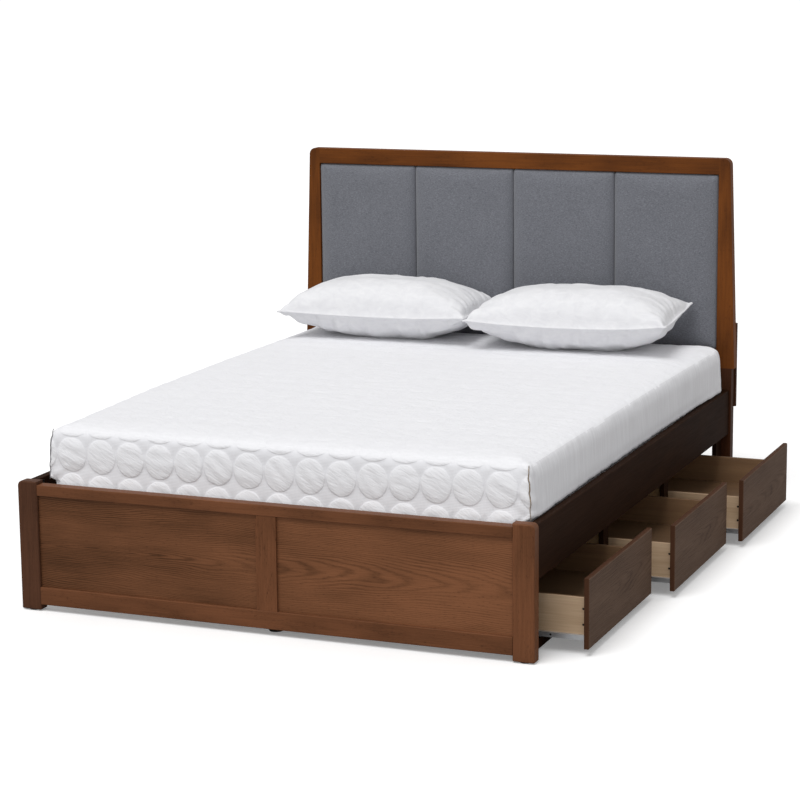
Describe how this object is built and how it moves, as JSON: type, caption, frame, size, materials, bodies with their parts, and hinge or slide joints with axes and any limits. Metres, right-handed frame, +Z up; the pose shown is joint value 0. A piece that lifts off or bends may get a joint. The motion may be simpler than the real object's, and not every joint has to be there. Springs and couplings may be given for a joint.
{
  "type": "platform bed with storage drawers",
  "caption": "Queen platform bed with a padded panel headboard, low framed footboard, slatted deck and storage drawers on roller slides under the right side, with mattress and pillows.",
  "frame": {"origin": "on the floor under the middle leg of the centre beam, at the middle of the bed's width and length", "axes": "+X across the bed towards the drawer side, +Y from the footboard to the headboard, +Z up"},
  "size_m": [1.874, 2.1965, 1.213],
  "materials": {
    "footboard_walnut": "satin stained walnut veneer",
    "headboard_walnut": "satin stained walnut",
    "rail_walnut": "satin dark walnut veneer",
    "drawer_walnut": "satin dark walnut veneer",
    "back_board": "thin stained plywood",
    "drawer_board": "pale board with a fine grain outside, dark lining inside",
    "pine": "planed softwood",
    "zinc_steel": "bright zinc plating",
    "dark_steel": "black oxide",
    "nylon": "moulded nylon",
    "glide_plastic": "moulded nylon",
    "upholstery": "grey woven cloth",
    "mattress_cloth": "white quilted knit cover",
    "pillow_cotton": "white cotton"
  },
  "bodies": {
    "frame": {"cabinet_slides": "zinc_steel", "centre_beam": "pine", "corner_brackets": "dark_steel", "cross_ties": "pine", "face_frame": "rail_walnut", "foot_bottom_rail": "footboard_walnut", "foot_mid_stile": "footboard_walnut", "foot_panels": "footboard_walnut", "foot_post_left": "footboard_walnut", "foot_post_right": "footboard_walnut", "foot_top_rail": "footboard_walnut", "frame_bolts": "dark_steel", "glides": "glide_plastic", "head_back_panel": "back_board", "head_cross_rail": "headboard_walnut", "head_leg_left": "headboard_walnut", "head_leg_right": "headboard_walnut", "head_low_rail": "headboard_walnut", "head_pad_1": "upholstery", "head_pad_2": "upholstery", "head_pad_3": "upholstery", "head_pad_4": "upholstery", "head_post_left": "headboard_walnut", "head_post_right": "headboard_walnut", "head_top_rail": "headboard_walnut", "inner_drawer_rail": "pine", "mattress": "mattress_cloth", "pillow_left": "pillow_cotton", "pillow_right": "pillow_cotton", "runner_boards": "pine", "side_rail_left": "rail_walnut", "side_rail_right": "rail_walnut", "slat_ledgers": "pine", "slats": "pine", "splice_boards": "headboard_walnut", "support_legs": "pine"},
    "cabinet_rollers_1": {"cabinet_rollers_1": "nylon"},
    "cabinet_rollers_2": {"cabinet_rollers_2": "nylon"},
    "cabinet_rollers_3": {"cabinet_rollers_3": "nylon"},
    "drawer_1": {"drawer_back_1": "drawer_board", "drawer_bottom_1": "drawer_board", "drawer_front_1": "drawer_walnut", "drawer_screws_1": "dark_steel", "drawer_sides_1": "drawer_board", "drawer_slides_1": "zinc_steel"},
    "drawer_2": {"drawer_back_2": "drawer_board", "drawer_bottom_2": "drawer_board", "drawer_front_2": "drawer_walnut", "drawer_screws_2": "dark_steel", "drawer_sides_2": "drawer_board", "drawer_slides_2": "zinc_steel"},
    "drawer_3": {"drawer_back_3": "drawer_board", "drawer_bottom_3": "drawer_board", "drawer_front_3": "drawer_walnut", "drawer_screws_3": "dark_steel", "drawer_sides_3": "drawer_board", "drawer_slides_3": "zinc_steel"},
    "drawer_rollers_1": {"drawer_rollers_1": "nylon"},
    "drawer_rollers_2": {"drawer_rollers_2": "nylon"},
    "drawer_rollers_3": {"drawer_rollers_3": "nylon"}
  },
  "joints": [
    {"name": "drawer_1_slide", "type": "slide", "parent": "frame", "child": "drawer_1", "axis": [1, 0, 0], "range_m": [-0.136, 0.234]},
    {"name": "drawer_2_slide", "type": "slide", "parent": "frame", "child": "drawer_2", "axis": [1, 0, 0], "range_m": [-0.1955, 0.1745]},
    {"name": "drawer_3_slide", "type": "slide", "parent": "frame", "child": "drawer_3", "axis": [1, 0, 0], "range_m": [-0.239, 0.131]},
    {"name": "cabinet_rollers_1_spin", "type": "hinge", "parent": "frame", "child": "cabinet_rollers_1", "pos_m": [0.759, -0.656, 0.0507], "axis": [0, 1, 0], "range_deg": [-980, 1681]},
    {"name": "drawer_rollers_1_spin", "type": "hinge", "parent": "drawer_1", "child": "drawer_rollers_1", "pos_m": [0.439, -0.656, 0.0483], "axis": [0, 1, 0], "range_deg": [-871, 1495]},
    {"name": "cabinet_rollers_2_spin", "type": "hinge", "parent": "frame", "child": "cabinet_rollers_2", "pos_m": [0.759, 0.01, 0.0507], "axis": [0, 1, 0], "range_deg": [-1406, 1255]},
    {"name": "drawer_rollers_2_spin", "type": "hinge", "parent": "drawer_2", "child": "drawer_rollers_2", "pos_m": [0.4985, 0.01, 0.0483], "axis": [0, 1, 0], "range_deg": [-1250, 1116]},
    {"name": "cabinet_rollers_3_spin", "type": "hinge", "parent": "frame", "child": "cabinet_rollers_3", "pos_m": [0.759, 0.676, 0.0507], "axis": [0, 1, 0], "range_deg": [-1717, 944]},
    {"name": "drawer_rollers_3_spin", "type": "hinge", "parent": "drawer_3", "child": "drawer_rollers_3", "pos_m": [0.542, 0.676, 0.0483], "axis": [0, 1, 0], "range_deg": [-1527, 839]}
  ],
  "couplings": [
    {"joint": "cabinet_rollers_1_spin", "follows": "drawer_1_slide", "rad_per_m": 125},
    {"joint": "drawer_rollers_1_spin", "follows": "drawer_1_slide", "rad_per_m": 111.11},
    {"joint": "cabinet_rollers_2_spin", "follows": "drawer_2_slide", "rad_per_m": 125},
    {"joint": "drawer_rollers_2_spin", "follows": "drawer_2_slide", "rad_per_m": 111.11},
    {"joint": "cabinet_rollers_3_spin", "follows": "drawer_3_slide", "rad_per_m": 125},
    {"joint": "drawer_rollers_3_spin", "follows": "drawer_3_slide", "rad_per_m": 111.11}
  ]
}
